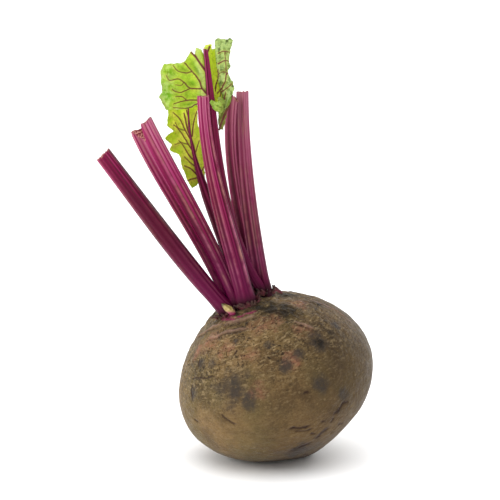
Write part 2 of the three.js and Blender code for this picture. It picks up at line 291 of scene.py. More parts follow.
class Shader(Nodes):
    """A material's node tree. `colour` is the base colour so far."""

    def __init__(self, name, roughness):
        self.material = bpy.data.materials.new(name)
        self.material.use_nodes = True
        super().__init__(self.material.node_tree)
        self.surface = self.tree.nodes["Principled BSDF"]
        self.surface.inputs["Roughness"].default_value = roughness
        self.place = self.node("TexCoord").outputs["Object"]
        self.colour = None

    def mask(self, name, output="Fac"):
        node = self.node("Attribute")
        node.attribute_name = name
        return node.outputs[output]

    def noise(self, size, detail=4, roughness=0.55, distortion=0.0, place=None):
        """Noise whose patches are about `size` metres across."""
        return self.node("TexNoise", Vector=place or self.place, Scale=1 / size, Detail=detail,
                         Roughness=roughness, Distortion=distortion).outputs["Fac"]

    def cells(self, size, feature="F1"):
        """Distance to the nearest of points about `size` metres apart, or to their cells' edges."""
        node = self.node("TexVoronoi", Vector=self.place, Scale=1 / size)
        node.feature = feature
        return node.outputs["Distance"]

    def step(self, value, low, high):
        """0 below `low`, 1 above `high`; reversed where `low` is the larger."""
        node = self.node("MapRange", Value=value, From_Min=low, From_Max=high)
        node.interpolation_type = "SMOOTHSTEP"
        return node.outputs["Result"]

    def patches(self, low, high, *noise):
        """`step` of a noise with these settings."""
        return self.step(self.noise(*noise), low, high)

    def rising(self, value, gain, offset):
        return self.maths("MULTIPLY_ADD", value, gain, offset)

    def mix(self, amount, a, b):
        node = self.node("Mix")
        node.data_type = "RGBA"
        for name, value in {"Factor": amount, "A": a, "B": b}.items():
            self.link(value, node.inputs[name])
        return node.outputs["Result"]

    def coat(self, colour, amount, share=1.0):
        """Lays `colour` over the base colour by `amount` times `share`."""
        if share != 1.0:
            amount = self.product(amount, share)
        self.colour = self.mix(amount, self.colour, colour)

    def bump(self, height, depth):
        """Raises the surface by `height` times `depth` metres."""
        node = self.node("Bump", Distance=depth, Height=height)
        previous = self.surface.inputs["Normal"]
        if previous.is_linked:
            self.tree.links.new(previous.links[0].from_socket, node.inputs["Normal"])
        self.tree.links.new(node.outputs["Normal"], previous)

    def finish(self, **settings):
        """Joins the base colour and sets the named inputs, with spaces for underscores."""
        for socket, value in {"Base Color": self.colour, **settings}.items():
            self.link(value, self.surface.inputs[socket.replace("_", " ")])
        return self.material


def srgb(red, green, blue):
    """A colour given as it looks on a screen, 0 to 255."""
    return tuple(((part / 255 + 0.055) / 1.055) ** 2.4 for part in (red, green, blue))


def skin_material():
    s = Shader("root_skin", 0.6)
    umber = srgb(70, 53, 33)
    soil = srgb(26, 20, 14)
    cork = srgb(172, 148, 108)
    upper = s.mask("cork")
    band = s.mask("band", "Vector")
    s.colour = s.mix(s.patches(0.38, 0.62, 0.03, 3), srgb(106, 90, 56), srgb(130, 104, 66))
    # Painted shade: umber over the lower right of the root, partly the skin's own olive-brown there.
    s.coat(umber, s.mask("right"))
    s.coat(umber, s.patches(0.42, 0.68, 0.012, 5, 0.7, 0.4), 0.7)
    s.coat(umber, s.patches(0.4, 0.66, 0.0009, 3, 0.7), 0.3)
    blush = s.product(s.mask("blush"), s.patches(0.34, 0.6, 0.005, 5, 0.7))
    s.coat(srgb(148, 98, 76), blush, 0.75)
    s.coat(umber, s.patches(0.48, 0.66, 0.0035, 5, 0.7, 0.3, band), s.rising(upper, 0.55, 0.12))
    s.coat(cork, s.patches(0.48, 0.68, 0.0012, 4, 0.7, 0.5, band), s.rising(upper, 0.62, 0.12))
    s.coat(soil, s.patches(0.52, 0.36, 0.002, 6, 0.8, 1.6), s.rising(upper, 0.85, 0.22))
    s.coat(cork, s.step(s.cells(0.0045), 0.16, 0.08), 0.2)
    grey = s.product(s.mask("grey"), s.patches(0.28, 0.54, 0.0022, 6, 0.8))
    s.coat(srgb(56, 50, 46), grey, 0.85)
    earth = s.product(s.mask("earth"), s.patches(0.3, 0.52, 0.0022, 5, 0.8))
    s.coat(soil, earth, 0.9)
    s.coat(srgb(150, 118, 104), s.mask("ridge"))
    s.coat(srgb(140, 36, 84), s.mask("flush"), s.patches(0.3, 0.55, 0.0016, 4, 0.7))
    # Dark cuts, and painted shade in the creases below raised lines.
    s.coat(srgb(44, 27, 22), s.mask("scar_and_crease_shade"))
    s.bump(s.noise(0.0013, 5, 0.7, 0.0, band), 0.0008)
    s.bump(s.cells(0.0016), 0.00012)
    gloss = s.mix(s.patches(0.3, 0.7, 0.004), (0.5,) * 3, (0.72,) * 3)
    return s.finish(Roughness=gloss, Specular_IOR_Level=0.12, Sheen_Weight=0.12, Sheen_Roughness=0.3)


def stalk_material():
    s = Shader("stalk_skin", 0.4)
    pink = srgb(184, 104, 132)
    height = s.mask("height")
    streak = s.maths("ADD", s.mask("streak"), s.rising(height, 1.1, -0.5))
    s.colour = s.mix(s.step(streak, 0.1, 0.5), srgb(78, 6, 36), srgb(114, 14, 58))
    s.coat(srgb(152, 42, 92), s.step(streak, 0.45, 0.85))
    s.coat(pink, height, s.step(streak, 0.75, 1.15))
    s.coat(srgb(100, 8, 66), s.step(height, 0.5, 0.1), 0.5)
    # Painted light: the back stalks greyed towards their tips, as backlight greys them.
    s.coat(srgb(124, 88, 92), s.mask("backlight_grey"))
    pale = s.mix(s.patches(0.4, 0.6, 0.012), srgb(172, 122, 110), pink)
    s.coat(pale, s.mask("pale"), s.patches(0.2, 0.65, 0.005))
    s.coat(srgb(40, 18, 20), s.mask("shade"))
    s.coat(s.mix(s.patches(0.4, 0.6, 0.0008, 3), srgb(112, 30, 50), srgb(200, 140, 130)), s.mask("cut"))
    s.bump(s.noise(0.0007, 3, 0.6), 0.00012)
    gloss = s.mix(s.patches(0.3, 0.7, 0.003), (0.3,) * 3, (0.45,) * 3)
    return s.finish(Roughness=gloss, Specular_IOR_Level=0.09)


def leaf_material():
    s = Shader("leaf_skin", 0.45)
    yellow = srgb(224, 226, 78)
    s.colour = s.mix(s.patches(0.3, 0.7, 0.006, 4, 0.6), srgb(106, 164, 4), srgb(178, 214, 52))
    s.coat(srgb(210, 236, 44), s.mask("fresh"))
    s.coat(yellow, s.mask("warm"), s.patches(0.2, 0.55, 0.004, 3))
    s.coat(srgb(84, 124, 10), s.patches(0.52, 0.7, 0.0016, 4, 0.65), 0.35)
    # Painted highlight: a pale sheen near the upper blade's outline.
    painted_rim_sheen = s.product(s.mask("outer"), s.patches(0.4, 0.6, 0.003, 5, 0.7))
    s.coat(srgb(204, 222, 136), painted_rim_sheen, 0.5)
    old = s.mask("old")
    s.coat(s.mix(s.patches(0.34, 0.56, 0.0018, 4), srgb(96, 120, 50), srgb(160, 184, 104)), old)
    s.coat(srgb(50, 62, 26), old, s.product(s.patches(0.56, 0.66, 0.0028, 3, 0.6), 0.7))
    # Painted highlight: a pale band along the left side of the upper blade's midrib.
    s.coat(srgb(196, 216, 124), s.mask("bright"), 0.7)
    s.coat(yellow, s.mask("halo"), 0.3)
    s.coat(srgb(84, 70, 24), s.product(s.mask("rim"), s.patches(0.46, 0.7, 0.003)), 0.6)
    veinlets = s.cells(0.0034, "DISTANCE_TO_EDGE")
    s.coat(srgb(120, 96, 30), s.step(veinlets, 0.07, 0.0), 0.22)
    s.coat(srgb(104, 16, 42), s.mask("vein"))
    s.bump(s.noise(0.0009, 4, 0.6), 0.00015)
    s.bump(veinlets, 0.0006)
    return s.finish(Specular_IOR_Level=0.2)


def bud_material():
    s = Shader("bud_skin", 0.45)
    s.colour = s.mix(s.patches(0.35, 0.65, 0.0012, 3), srgb(150, 126, 66), srgb(204, 184, 118))
    s.coat(srgb(84, 72, 40), s.mask("tip"))
    s.coat(srgb(140, 30, 80), s.mask("foot"))
    s.bump(s.noise(0.0006), 0.0001)
    return s.finish()


def withered_material():
    s = Shader("withered_skin", 0.7)
    s.colour = s.mix(s.patches(0.4, 0.6, 0.003, 4), srgb(70, 38, 30), srgb(116, 36, 54))
    s.coat(srgb(140, 108, 84), s.patches(0.52, 0.7, 0.0012, 3), 0.6)
    s.coat(srgb(46, 34, 26), s.mask("dark"), 0.7)
    s.bump(s.noise(0.0006, 4), 0.0002)
    return s.finish()


# ---------- stalks ----------

# `facing` is the plan angle that the broad outer side looks to, 0 towards -Y and turning towards +X.
# `groove` is the channel: where it lies across the section, its side (1 outer, -1 inner), its depth as
# a share of the stalk's and its width. Each rib is an angle around the section in degrees, a height in
# mm, a width in degrees and how pale it is. `cut` is how many mm short of its tip the stalk stops,
# across the section. `tone` brightens the streaks, `taper` thins the tip and `backlight_grey` greys it
# towards
# the tip: painted light, the grey cast of backlight.
STALKS = {
    "petiole_far_left": dict(
        facing=-25, groove=(0.1, -1, 0.35, 0.45), tone=-0.5,
        ribs=[(20, 0.18, 9, 0.15), (52, 0.26, 10, 0.05), (84, 0.2, 8, 0.0), (118, 0.3, 10, 0.16),
              (150, 0.2, 9, 0.12)],
        cut=lambda x: 0.8 * (1 - x) + 0.8 * bell(x - 0.1, 0.2) - 0.3),
    "petiole_left": dict(
        facing=-6, groove=(-0.42, 1, 0.42, 0.2), tone=-0.2,
        ribs=[(20, 0.25, 7, 0.2), (44, 0.32, 5, 0.5), (60, 0.2, 5, 0.0), (77, 0.28, 6, 0.6),
              (98, 0.22, 5, 0.0), (121, 0.32, 5, 0.4), (146, 0.3, 6, 0.4)],
        cut=lambda x: np.interp(x, [-1, -0.92, -0.8, -0.5, -0.3, -0.2, -0.08, 0.03, 0.5, 0.9, 1],
                                [3.5, 1.5, 1.6, 4.6, 6.6, 7.8, 6.8, 0, 0.1, -1.2, -0.5])),
    "petiole_front": dict(
        facing=4, groove=(0, -1, 0.4, 0.5), tone=-0.3,
        ribs=[(24, 0.25, 8, 0.2), (46, 0.42, 8, 1.0), (72, 0.14, 6, 0.0), (95, 0.34, 5, 0.5),
              (121, 0.34, 6, 0.4), (150, 0.25, 8, 0.2)],
        cut=lambda x: 0.5 * (1 + x)),
    "petiole_lower_leaf": dict(
        facing=8, groove=(0, -1, 0.25, 0.5), tone=-0.4, taper=0.6,
        ribs=[(40, 0.16, 10, 0.2), (90, 0.25, 12, 0.1), (135, 0.16, 10, 0.25)],
        cut=lambda x: 0.2 + 0 * x),
    "petiole_upper_leaf": dict(
        facing=0, groove=(0, -1, 0.25, 0.5), tone=-0.5,
        ribs=[(35, 0.16, 10, 0.2), (80, 0.22, 10, 0.1), (125, 0.18, 9, 0.3)],
        cut=lambda x: 0.3 * (1 + x)),
    "petiole_back_left": dict(
        facing=160, groove=(0, -1, 0.42, 0.45), tone=-0.04, backlight_grey=0.3,
        ribs=[(-150, 0.2, 9, 0.3), (-110, 0.15, 8, 0.4), (-66, 0.2, 8, 0.3), (-30, 0.2, 9, 0.5),
              (50, 0.25, 9, 0.3), (90, 0.25, 9, 0.3), (130, 0.25, 9, 0.3)],
        cut=lambda x: 3 * np.abs(x)),
    "petiole_back_right": dict(
        facing=150, groove=(0.1, -1, 0.4, 0.5), tone=0.0, backlight_grey=0.35,
        ribs=[(-155, 0.25, 9, 0.3), (-130, 0.2, 8, 0.5), (-101, 0.25, 8, 0.65), (-66, 0.25, 7, 0.6),
              (-28, 0.25, 9, 0.4), (40, 0.25, 9, 0.3), (90, 0.3, 9, 0.4), (140, 0.25, 9, 0.3)],
        cut=lambda x: 0.5 * np.abs(x - 0.3)),
}
STALK_AROUND = 96
STALK_ALONG = 240
STALK_SQUARENESS = 0.85
FOOT_REACH = 3.5 * MM      # a stalk runs this far into the crown
FOOT_FLARE = 0.16          # the share by which a stalk widens at its foot
CAP_RINGS = 7


class StalkLine:
    """A stalk's middle line and half sizes as smooth curves, read from slices through its CAD solid."""

    def __init__(self, node, facing):
        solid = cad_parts[node].data
        points = np.array([v.co for v in solid.vertices])
        edges = np.array([e.vertices for e in solid.edges])
        z = points[:, 2]
        self.low = points[z < z.min() + 3 * MM].mean(0)
        self.along = unit(points[z > z.max() - 3 * MM].mean(0) - self.low)
        turn = math.radians(facing)
        self.side = unit(np.cross(self.along, [math.sin(turn), -math.cos(turn), 0]))
        self.outer = np.cross(self.side, self.along)
        reach = (points - self.low) @ self.along
        self.length = reach.max()
        heights = np.linspace(0.16, 0.93, 16) * self.length
        slices = np.array([self.measure(points, edges, reach, height) for height in heights])
        self.fits = [np.polyfit(heights, column, 3) for column in slices.T]

    def measure(self, points, edges, reach, height):
        """Middle and half size, across and outwards, of the slice at `height`."""
        start, end = reach[edges[:, 0]], reach[edges[:, 1]]
        crossing = (start - height) * (end - height) < 0
        a, b = points[edges[crossing, 0]], points[edges[crossing, 1]]
        part = ((height - start) / (end - start + 1e-12))[crossing, None]
        cut = a + (b - a) * part - self.low
        across, out = cut @ self.side, cut @ self.outer
        return [(across.max() + across.min()) / 2, (out.max() + out.min()) / 2,
                (across.max() - across.min()) / 2, (out.max() - out.min()) / 2]

    def at(self, height):
        """The middle, half width and half depth at `height` along the chord, for an array of heights."""
        held = np.clip(height, 0.1 * self.length, self.length)
        across, out = (np.polyval(fit, height) for fit in self.fits[:2])
        width, depth = (np.maximum(np.polyval(fit, held), 0.5 * MM) for fit in self.fits[2:])
        middle = self.low + height[..., None] * self.along + across[..., None] * self.side
        return middle + out[..., None] * self.outer, width, depth


def section(angle, groove):
    """A stalk's section of half size 1: an oval with flattened sides and its channel."""
    at, side, depth, width = groove
    across = np.sign(np.cos(angle)) * np.abs(np.cos(angle)) ** STALK_SQUARENESS
    out = np.sign(np.sin(angle)) * np.abs(np.sin(angle)) ** STALK_SQUARENESS
    channel = depth * bell(across - at, width) * (np.sign(out) == side)
    return across, out * (1 - 2 * channel)


def add_stalk(index, name, line, look, material):
    """One ribbed stalk from inside the crown to its torn end, with a rough cap."""
    seed = 100 * index
    angle = -2 * math.pi * np.arange(STALK_AROUND) / STALK_AROUND
    across, out = section(angle, look["groove"])
    ring = np.stack([np.cos(angle), np.sin(angle), np.zeros(STALK_AROUND)], -1)
    pale = np.zeros(STALK_AROUND)
    ridge = np.zeros(STALK_AROUND)
    lift = np.zeros(STALK_AROUND)
    for degrees, height, width, paleness in look["ribs"]:
        away = (np.degrees(angle) - degrees + 180) % 360 - 180
        shape = bell(away, width)
        pale = np.maximum(pale, paleness * shape)
        ridge = np.maximum(ridge, shape)
        lift = lift + height * MM * shape
    lift -= lift.mean()

    ragged = 0.45 * layered_noise(ring, 0.35, seed + 3, 3) + 0.25 * noise(ring, 0.09, seed + 4)
    stop = line.length - (look["cut"](across) + ragged) * MM
    rows = np.linspace(0, 1, STALK_ALONG)[:, None]
    height = -FOOT_REACH + rows * (stop + FOOT_REACH)
    middle, width, depth = line.at(height)
    share = np.clip(height / line.length, 0, 1)
    foot = bell(np.maximum(height, 0), 5 * MM)
    thin = 1 - look.get("taper", 0) * smooth(0.5, 0.85, share)
    middle = middle - ((1 - thin) * depth)[..., None] * line.outer
    width, depth = width * (1 + FOOT_FLARE * foot) * thin, depth * thin
    room = np.minimum(1, width / (3 * MM))
    lift = lift * room * (1 - 0.5 * foot)
    place = np.concatenate([np.broadcast_to(ring[:, :2], (*height.shape, 2)), height[..., None] * 12], -1)
    lift = lift + 0.14 * MM * noise(place * [5, 5, 1], 1, seed) * room
    lift = lift + 0.05 * MM * noise(place * [16, 16, 1.5], 1, seed + 1)
    points = middle + (across * width)[..., None] * line.side + (out * depth)[..., None] * line.outer
    points = points + unit(points - middle) * lift[..., None]

    streak = 0.34 + look["tone"] + 0.3 * ridge + 0.5 * noise(place * [4, 4, 0.35], 1, seed + 5)
    streak = streak + 0.5 * noise(place * [13, 13, 0.6], 1, seed + 6)
    masks = dict(
        streak=streak, shade=0.8 * bell(np.maximum(height, 0), 3.2 * MM), backlight_grey=look.get("backlight_grey", 0) * share,
        pale=pale * smooth(0.0, 0.2, share), height=share, cut=smooth(0.994, 1.0, rows + 0 * height))

    rings = [points]
    rim = points[-1]
    centre = rim.mean(0)
    for inward in np.arange(1, CAP_RINGS) / CAP_RINGS:
        inner = rim + (centre - rim) * inward
        rough = 0.35 * noise(inner / MM, 0.9, seed + 8) + 0.25 * noise(inner / MM, 0.35, seed + 9)
        inner = inner + ((rough - 0.5 * math.sin(inward * math.pi / 2)) * MM)[:, None] * line.along
        rings.append(inner[None])
    points = np.concatenate(rings)
    count = len(points) * STALK_AROUND
    faces = grid_faces(len(points), STALK_AROUND).tolist()
    last = count - STALK_AROUND
    faces += [[last + k, last + (k + 1) % STALK_AROUND, count] for k in range(STALK_AROUND)]
    points = np.vstack([points.reshape(-1, 3), centre - 0.6 * MM * line.along])
    for key, values in masks.items():
        cap = np.full((CAP_RINGS - 1) * STALK_AROUND, 1.0 if key == "cut" else 0.5)
        masks[key] = np.concatenate([values.reshape(-1), cap, [1.0]])
    add_piece(name + "_look", points, faces, material, name, masks)


# ---------- root ----------

ROOT_ROWS = 300
ROOT_COLUMNS = 560
ROOT_BLUR = math.radians(4)        # rounds off the facets of the CAD root

# Grey blotches, clinging earth and reddish patches on the skin, as angles down from the crown and around
# it, 0 towards +X and -90 towards -Y, and a size in mm.
GREY = [(69, -114, 8), (78, -106, 4.5), (68, -79, 3), (66, -66, 2.5), (66, -50, 4.5), (51, -82, 2.2),
        (40, -110, 1.6), (71, -148, 2.6), (53, -146, 2), (52, -132, 2.4), (127, -92, 8), (87, -65, 4),
        (100, -54, 3), (66, -25, 2.5), (95, 60, 7), (60, 100, 6), (70, 150, 6), (115, 120, 7)]
EARTH = [(36, -43, 6), (27, -51, 5), (20, -65, 3.5), (18, -114, 1.6), (25, -157, 2.5), (33, -163, 1.8),
         (52, -7, 3), (67, -36, 2.5), (67, -49, 2.5), (29, -95, 1.2), (30, 15, 6), (26, 70, 6),
         (32, 120, 5), (50, 45, 4), (24, 165, 3), (122, -93, 3), (107, -60, 1.6)]
BLUSH = [(35, -82, 5), (45, -119, 4.5), (46, -159, 4), (75, -100, 4), (55, -51, 4), (38, -63, 4.5),
         (39, -140, 5), (40, -20, 4.5), (66, -73, 4), (53, -99, 4), (45, 60, 7), (50, 130, 7), (70, 20, 5)]

# Pink strokes at the crown, from one pair of angles to another, with their width in mm.
FLUSH = [((16, -170), (21, -120), 1.9), ((20, -150), (24, -112), 1.1), ((21, -112), (22, -72), 0.5)]

# The crown dips here, right of the stalks: two angles, and its depth and size in mm.
HOLLOW = (28, 12)
HOLLOW_DEPTH = 2.0
HOLLOW_SIZE = 14

# Lines on the skin, from one pair of angles to another, with their height and width in mm. A height
# below 0 is a dark cut. Below a raised line, its crease is painted dark as shade.
LINES = [
    ((27, -129), (26, -78), 0.55, 0.7), ((42, 178), (25, -134), 0.5, 0.8),
    ((37, -148), (33, -93), 0.35, 0.7), ((46, -50), (58, -43), 0.3, 0.6),
    ((26, -119), (24, -98), 0.4, 0.6), ((45, 0), (77, -7), 0.25, 0.8), ((30, 20), (27, 75), 0.5, 0.8),
    ((36, 90), (33, 150), 0.45, 0.8), ((44, 40), (48, 90), 0.3, 0.8),
    ((83, -126), (90, -118), -0.4, 0.42), ((86, -149), (87, -145), -0.4, 0.5),
    ((63, -152), (62, -127), -0.2, 0.4), ((66, -150), (76, -149), -0.25, 0.6),
    ((101, -91), (106, -79), -0.35, 0.55), ((104, -89), (109, -79), -0.3, 0.4),
    ((111, -81), (114, -79), -0.3, 0.5), ((112, -67), (110, -64), -0.4, 0.7),
    ((107, -73), (109, -70), -0.3, 0.5), ((118, -61), (121, -55), -0.3, 0.45),
    ((104, -57), (106, -51), -0.35, 0.8), ((123, -68), (121, -66), -0.3, 0.4),
    ((86, -76), (87, -73), -0.3, 0.45), ((50, -151), (56, -148), -0.3, 0.5),
    ((47, -108), (50, -112), -0.25, 0.4), ((121, -98), (120, -82), -0.3, 1.0),
    ((119, -80), (114, -69), -0.3, 1.1), ((108, -64), (104, -55), -0.3, 0.8),
    ((90, 30), (92, 42), -0.3, 0.4), ((80, 80), (76, 92), -0.3, 0.4),
    ((100, 118), (104, 126), -0.35, 0.4), ((70, 165), (74, 175), -0.3, 0.4)]


class Root:
    """The root's place and skin, in angles about the line from its middle to its crown."""

    def __init__(self, crown):
        low, high = (np.array(corner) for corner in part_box("beet_root"))
        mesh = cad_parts["beet_root"].data
        self.tree = BVHTree.FromPolygons([v.co for v in mesh.vertices], [p.vertices for p in mesh.polygons])
        self.centre = (low + high) / 2
        self.axis = unit(crown - self.centre)
        self.right = unit(np.cross([0, 1, 0], self.axis))
        self.back = np.cross(self.axis, self.right)

    def towards(self, polar, around):
        """The unit direction at an angle down from the crown and an angle around."""
        flat = np.cos(around)[..., None] * self.right + np.sin(around)[..., None] * self.back
        return np.cos(polar)[..., None] * self.axis + np.sin(polar)[..., None] * flat

    def reach(self, direction):
        """How far the skin is from the middle."""
        return self.tree.ray_cast(Vector(self.centre), Vector(direction))[3]

    def on_crown(self, right, back):
        """The point of the crown that is `right` and `back` of its middle."""
        start = self.centre + self.axis * 0.08 + self.right * right + self.back * back
        return np.array(self.tree.ray_cast(Vector(start), Vector(-self.axis))[0])


def blurred(field, angle):
    """The field over polar and around angles, smoothed over `angle` across the poles and the seam."""
    rows, columns = field.shape
    beyond = np.roll(field[::-1], columns // 2, axis=1)
    whole = np.concatenate([field, beyond])
    down = np.fft.fftfreq(2 * rows) * 2 * rows
    around = np.fft.fftfreq(columns) * columns
    keep = np.exp(-0.5 * (angle ** 2) * (down[:, None] ** 2 + around[None, :] ** 2))
    return np.real(np.fft.ifft2(np.fft.fft2(whole) * keep))[:rows]


def add_root(root, material):
    """The root's skin, wrinkled and corky above and smooth below, with its marks and lines."""
    polar = (np.arange(ROOT_ROWS) + 0.5) * math.pi / ROOT_ROWS
    around = np.arange(ROOT_COLUMNS) * 2 * math.pi / ROOT_COLUMNS
    polar, around = np.meshgrid(polar, around, indexing="ij")
    direction = root.towards(polar, around)
    reach = np.array([root.reach(d) for d in direction.reshape(-1, 3)]).reshape(polar.shape)
    reach = blurred(reach, ROOT_BLUR)
    skin = (root.centre + reach[..., None] * direction) / MM
    reach = reach / MM
    down = reach * polar                       # along the skin from the crown's middle

    def away_from(angles):
        """How far each point is from a pair of angles, along the skin."""
        return np.arccos(np.clip(direction @ root.towards(*np.radians(angles)), -1, 1)) * reach

    blot = 0.8 * layered_noise(skin, 4, 7, 5)
    wander = 0.8 * noise(skin, 4, 31) + 0.35 * noise(skin, 1.3, 32)

    def blots(marks):
        """1 within the marks and 0 outside, with wandering edges."""
        shapes = [1 - smooth(0.3, 1.45, away_from(angles) / size + blot) for *angles, size in marks]
        return np.max(shapes, axis=0)

    def stroke(start, end, width, below=0):
        """1 along a wandering line from one pair of angles to another, or `below` that line."""
        first, last = (root.towards(*np.radians(angles)) for angles in (start, end))
        normal = unit(np.cross(first, last))
        travel = np.arctan2(direction @ np.cross(normal, first), direction @ first)
        share = travel / math.acos(first @ last)
        aside = np.arcsin(np.clip(direction @ normal, -1, 1)) * reach + wander
        aside += below * np.sign(normal @ root.axis)
        return bell(aside, width) * smooth(-0.08, 0.15, share) * (1 - smooth(0.8, 1.08, share))

    raised, scar_and_crease_shade, relief = np.zeros((3, *polar.shape))
    for start, end, height, width in LINES:
        shape = stroke(start, end, width)
        relief += height * shape
        if height < 0:
            scar_and_crease_shade = np.maximum(scar_and_crease_shade, shape)
        else:
            crease = stroke(start, end, 0.7 * width, 1.7 * width)
            relief -= 0.7 * height * crease
            # Painted shade in the crease below the raised line.
            scar_and_crease_shade = np.maximum(scar_and_crease_shade, 0.6 * crease)
            raised = np.maximum(raised, shape)

    near_crown = bell(down, 26)
    cork = np.exp(-((np.degrees(polar) - 38) / 38) ** 4) * smooth(-0.8, 0, layered_noise(skin, 14, 61, 3))
    # Rings: noise that changes quickly down the root and slowly around it.
    spread = reach * np.sin(polar)
    ring = np.stack([down + 0.8 * noise(skin, 7, 12), spread * np.cos(around), spread * np.sin(around)], -1)
    band = ring * [1, 0.45, 0.45]
    wrinkles = noise(ring * [1, 0.2, 0.2], 2.1, 21) * smooth(6, 12, down) * (1 - smooth(24, 40, down))
    earth = blots(EARTH)
    lift = 0.5 * layered_noise(skin, 19, 1, 3)
    lift += 0.18 * layered_noise(skin, 5, 2, 3)
    lift += 0.5 * wrinkles
    lift += (0.05 + 0.26 * cork) * layered_noise(band, 1.5, 23, 3)
    lift += (0.05 + 0.2 * cork + 0.42 * near_crown) * layered_noise(skin, 1.7, 3, 3)
    lift -= 0.6 * near_crown
    lift -= HOLLOW_DEPTH * bell(away_from(HOLLOW), HOLLOW_SIZE)
    lift += 0.45 * earth * (0.4 + layered_noise(skin, 1.4, 5, 2))
    points = (skin + (lift + relief)[..., None] * direction) * MM
    points[..., 2] = np.maximum(points[..., 2], 0)

    collar = 1 - smooth(8, 15, down + 3 * noise(skin, 3, 55))
    # Darker towards the lower right: partly the skin's own olive-brown, partly painted shade.
    rightward = direction @ [1, 0, -0.3] + 0.25 * layered_noise(skin, 16, 91, 2)
    masks = dict(
        cork=cork, right=0.7 * smooth(-0.35, 0.6, rightward), grey=blots(GREY), blush=blots(BLUSH),
        earth=np.maximum(earth, 0.85 * collar), flush=np.max([stroke(*line) for line in FLUSH], axis=0),
        ridge=0.6 * raised, scar_and_crease_shade=scar_and_crease_shade, band=band * MM)

    def with_ends(grid):
        """The grid's rows in one list, and then its first and last rows' means."""
        ends = [grid[0].mean(0), grid[-1].mean(0)]
        return np.concatenate([grid.reshape(-1, *grid.shape[2:]), ends])

    count = polar.size
    faces = grid_faces(ROOT_ROWS, ROOT_COLUMNS)[:, ::-1].tolist()
    last = count - ROOT_COLUMNS
    for k in range(ROOT_COLUMNS):
        after = (k + 1) % ROOT_COLUMNS
        faces.append([k, after, count])
        faces.append([count + 1, last + after, last + k])
    masks = {key: with_ends(values) for key, values in masks.items()}
    add_piece("beet_root_look", with_ends(points), faces, material, "beet_root", masks)


# ---------- leaves ----------

# Outlines and veins in mm, to the right of and above the low corner of the blade's own box. Each half
# lies between the midrib and its own edge; `bottom` and `top` run outwards from the midrib. `lift` is how
# far a half leans back, from the midrib at 0 to its edge at 1, and beyond `fold` the right half shows its
# greyer face. A vein is a list of points and its widths in mm at either end.
UPPER_LEAF = dict(
    rib="petiole_upper_leaf",
    midrib=[(23, 2.9), (22.4, 8.4), (20.9, 17.4), (18, 27.4)],
    left=dict(
        edge=[(3, 0.9), (0, 6.4), (1, 8.4), (1.4, 10.4), (0.6, 13), (0.8, 15.4), (0.4, 17.6), (2, 20.9)],
        bottom=[(23, 2.9), (17, 2.9), (11, 1), (3, 0.9)],
        top=[(18, 27.4), (16, 27.9), (15.5, 24.9), (14, 26.4), (12.5, 24.4), (10.5, 21.9), (4.5, 20.9),
             (2, 20.9)]),
    right=dict(
        edge=[(32.5, 7.9), (32.9, 10.6), (32, 13.4), (30.4, 17.4), (31.2, 20), (30.8, 23.4), (32.3, 31.4)],
        bottom=[(23, 2.9), (24.6, 0.6), (25.6, 2.4), (26.4, -0.2), (27.6, 2.8), (28.6, -0.6), (30, 4.9),
                (32.5, 7.9)],
        top=[(18, 27.4), (20, 24.4), (19.5, 27.9), (22.5, 29.4), (23, 27.4), (26, 28.4), (24.5, 30.9),
             (26, 31.9), (29.5, 31.7), (31, 32.4), (32.3, 31.4)]),
    lift=dict(left=lambda u: -4.5 * u * u,
              right=lambda u: np.where(u < 0.52, 3 * u, 1.56 - 11 * (u - 0.52))),
    # bright=1 gives this blade its painted highlights.
    fold=0.54, warm=0.25, bright=1,
    veins=[
        ([(20.5, 7.9), (18.5, 10.4), (17.5, 13.4), (14.5, 17.4), (11, 21.4)], 0.6, 0.35),
        ([(14, 17.4), (11.5, 16.9), (8, 17.9), (6, 20.4)], 0.35, 0.25),
        ([(18.5, 9.9), (16, 9.9), (13, 10.4), (10.5, 12.9), (8, 14.4), (4.5, 13.9), (3, 15.9)], 0.5, 0.28),
        ([(13, 9.9), (10.5, 8.9), (9, 8.4), (7, 8.9), (5.5, 9.9)], 0.35, 0.25),
        ([(20.5, 17.4), (18, 20.9), (15.5, 24.4), (14, 25.9)], 0.75, 0.6),
        ([(17, 4.9), (13, 4.9), (9.5, 4.4), (6, 3.4)], 0.45, 0.25),
        ([(17, 3.4), (13, 1.6), (9.5, 1.4), (6, 1.8)], 0.4, 0.25),
        ([(24.5, 8.9), (25, 12.4), (26, 14.9), (26, 18.4)], 0.5, 0.25),
        ([(25.5, 7.9), (28, 10.9), (29.5, 15.9), (29, 26.4)], 0.45, 0.25),
        ([(29.5, 15.9), (31.5, 18.4)], 0.3, 0.2),
        ([(27, 8.4), (30, 10.4), (32, 12.4)], 0.4, 0.25),
        ([(22, 28.4), (21, 25.4)], 0.7, 0.4),
        ([(27.4, 0.4), (28.4, 4.4), (29.4, 8.4)], 0.6, 0.3),
        ([(25.4, 1.8), (26.4, 5.4), (27, 8.4)], 0.5, 0.3),
        ([(26, 21), (29, 22.5), (31, 22)], 0.4, 0.2),
        ([(26, 16), (28, 17.5), (31, 16.5)], 0.35, 0.2),
        ([(26, 25.5), (28.5, 26.6), (31.5, 26)], 0.35, 0.2),
        ([(12, 4.7), (10, 6.4), (7, 6.6)], 0.3, 0.2),
        ([(10.5, 12.9), (9.6, 11.6), (7, 11.8)], 0.25, 0.18),
    ])
